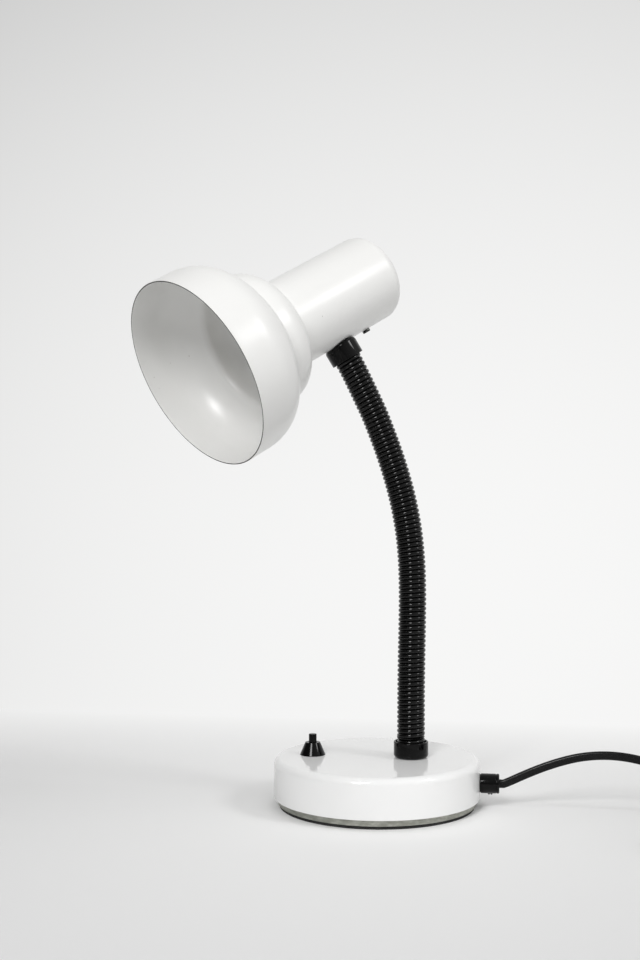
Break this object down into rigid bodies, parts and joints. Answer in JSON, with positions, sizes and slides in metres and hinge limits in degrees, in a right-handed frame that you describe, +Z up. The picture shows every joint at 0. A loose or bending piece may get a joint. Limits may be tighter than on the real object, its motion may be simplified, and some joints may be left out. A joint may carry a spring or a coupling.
{
  "type": "gooseneck desk lamp",
  "caption": "Desk lamp with a weighted round base, push switch, flexible gooseneck, swivelling can housing, stepped bowl shade, screw lampholder and mains cord with plug.",
  "frame": {"origin": "middle of the underside of the round foot pad", "axes": "+Z up from the table, -Y to the front where the push switch is, +Y to the back where the cord leaves, +X to the right seen from the front"},
  "size_m": [0.1759, 0.4407, 0.3626],
  "materials": {
    "white_enamel": "glossy white stoved enamel on sheet steel",
    "steel_plate": "grey primed steel plate",
    "pad": "black foam rubber",
    "iron": "raw cast iron",
    "zinc_steel": "bright zinc-plated steel",
    "black_plastic": "glossy black moulded plastic",
    "black_neck": "glossy black coated steel winding",
    "black_screw": "blackened steel",
    "white_plastic": "white nylon",
    "white_ceramic": "white glazed ceramic",
    "brass": "plain brass",
    "core_wire": "brown insulated cores",
    "black_cord": "black satin two-core cord",
    "plug_black": "black moulded plug",
    "plug_pin": "nickel-plated pins"
  },
  "bodies": {
    "base": {"base_cover": "white_enamel", "base_plate": "steel_plate", "foot_pad": "pad", "ballast_weight": "iron", "plate_screws": "zinc_steel", "neck_cup_lower": "black_plastic", "neck_nipple_lower": "zinc_steel", "neck_washer_lower": "zinc_steel", "neck_nut_lower": "zinc_steel", "switch_body": "black_plastic", "switch_ring": "black_plastic", "switch_spring": "zinc_steel", "switch_terminals": "brass", "cord_gland": "black_plastic", "gland_nut": "black_plastic", "gland_screw": "black_screw", "cord_clamp": "white_plastic", "clamp_screws": "zinc_steel", "terminal_block": "white_plastic", "terminal_screws": "zinc_steel", "base_wires": "core_wire", "cord_inner": "black_cord", "neck_link_00": "black_neck", "mains_cord": "black_cord", "cord_coil": "black_cord", "cord_tail": "black_cord", "plug_body": "plug_black", "plug_pins": "plug_pin"},
    "button": {"switch_button": "black_plastic"},
    "neck_01": {"neck_link_01": "black_neck"},
    "neck_02": {"neck_link_02": "black_neck"},
    "neck_03": {"neck_link_03": "black_neck"},
    "neck_04": {"neck_link_04": "black_neck"},
    "neck_05": {"neck_link_05": "black_neck"},
    "neck_06": {"neck_link_06": "black_neck"},
    "neck_07": {"neck_link_07": "black_neck"},
    "neck_08": {"neck_link_08": "black_neck"},
    "neck_09": {"neck_link_09": "black_neck"},
    "neck_10": {"neck_link_10": "black_neck"},
    "neck_11": {"neck_link_11": "black_neck"},
    "neck_12": {"neck_link_12": "black_neck", "neck_nipple_upper": "zinc_steel", "neck_washer_upper": "zinc_steel", "neck_nut_upper": "zinc_steel"},
    "head": {"neck_cup_upper": "black_plastic", "saddle_washer": "black_plastic", "housing": "white_enamel", "shade": "white_enamel", "shade_ring": "white_ceramic", "lampholder_body": "white_ceramic", "lampholder_shell": "brass", "lampholder_contact": "brass", "lampholder_terminals": "brass", "holder_bracket": "zinc_steel", "holder_screws": "zinc_steel", "bracket_screw": "black_screw", "head_wires": "core_wire"}
  },
  "joints": [
    {"name": "neck_bend_01", "type": "hinge", "parent": "base", "child": "neck_01", "pos_m": [0, 0.0217, 0.05383], "axis": [0.9997, 0, 0.0257], "range_deg": [-14.5, 12.5]},
    {"name": "neck_sway_02", "type": "hinge", "parent": "neck_01", "child": "neck_02", "pos_m": [-0.00104, 0.02171, 0.07415], "axis": [0, 1, -0.0055], "range_deg": [-14.5, 13.5]},
    {"name": "neck_bend_03", "type": "hinge", "parent": "neck_02", "child": "neck_03", "pos_m": [-0.00213, 0.02192, 0.09445], "axis": [0.9982, 0.0007, 0.0605], "range_deg": [-14.5, 12.5]},
    {"name": "neck_sway_04", "type": "hinge", "parent": "neck_03", "child": "neck_04", "pos_m": [-0.00351, 0.0222, 0.11473], "axis": [0, 1, -0.0081], "range_deg": [-14.5, 13.5]},
    {"name": "neck_bend_05", "type": "hinge", "parent": "neck_04", "child": "neck_05", "pos_m": [-0.00507, 0.02225, 0.135], "axis": [0.997, -0.0014, 0.0768], "range_deg": [-14.5, 12.5]},
    {"name": "neck_sway_06", "type": "hinge", "parent": "neck_05", "child": "neck_06", "pos_m": [-0.00663, 0.02148, 0.15526], "axis": [0, 0.9973, 0.074], "range_deg": [-14.5, 13.5]},
    {"name": "neck_bend_07", "type": "hinge", "parent": "neck_06", "child": "neck_07", "pos_m": [-0.00789, 0.01925, 0.17542], "axis": [0.9988, -0.0075, 0.0484], "range_deg": [-15.5, 10]},
    {"name": "neck_sway_08", "type": "hinge", "parent": "neck_07", "child": "neck_08", "pos_m": [-0.00862, 0.01527, 0.19534], "axis": [0, 0.9723, 0.2337], "range_deg": [-15.5, 12.5]},
    {"name": "neck_bend_09", "type": "hinge", "parent": "neck_08", "child": "neck_09", "pos_m": [-0.00875, 0.00975, 0.21491], "axis": [1, 0.0021, -0.0068], "range_deg": [-15.5, 10]},
    {"name": "neck_sway_10", "type": "hinge", "parent": "neck_09", "child": "neck_10", "pos_m": [-0.00833, 0.00304, 0.23409], "axis": [0, 0.9352, 0.3541], "range_deg": [-15.5, 12.5]},
    {"name": "neck_bend_11", "type": "hinge", "parent": "neck_10", "child": "neck_11", "pos_m": [-0.00739, -0.00463, 0.25289], "axis": [0.9989, 0.0181, -0.0438], "range_deg": [-15.5, 10]},
    {"name": "neck_sway_12", "type": "hinge", "parent": "neck_11", "child": "neck_12", "pos_m": [-0.0064, -0.01249, 0.27172], "axis": [0, 0.8947, 0.4467], "range_deg": [-9.3, 7.5]},
    {"name": "head_swivel", "type": "hinge", "parent": "neck_12", "child": "head", "pos_m": [-0.0037, -0.0227, 0.2891], "axis": [0.1327, -0.5019, 0.8547], "range_deg": [-133, 47]},
    {"name": "switch_press", "type": "slide", "parent": "base", "child": "button", "axis": [0, 0, -1], "range_m": [0, 0.003], "stiffness_N_per_m": 300, "springref_m": -0.002, "deforming": ["switch_spring"]}
  ],
  "couplings": [
    {"joint": "neck_bend_03", "follows": "neck_bend_01", "ratio": 1},
    {"joint": "neck_sway_04", "follows": "neck_sway_02", "ratio": 1},
    {"joint": "neck_bend_05", "follows": "neck_bend_01", "ratio": 1},
    {"joint": "neck_sway_06", "follows": "neck_sway_02", "ratio": 1},
    {"joint": "neck_bend_09", "follows": "neck_bend_07", "ratio": 1},
    {"joint": "neck_sway_10", "follows": "neck_sway_08", "ratio": 1},
    {"joint": "neck_bend_11", "follows": "neck_bend_07", "ratio": 1},
    {"joint": "neck_sway_12", "follows": "neck_sway_08", "ratio": 0.6}
  ]
}
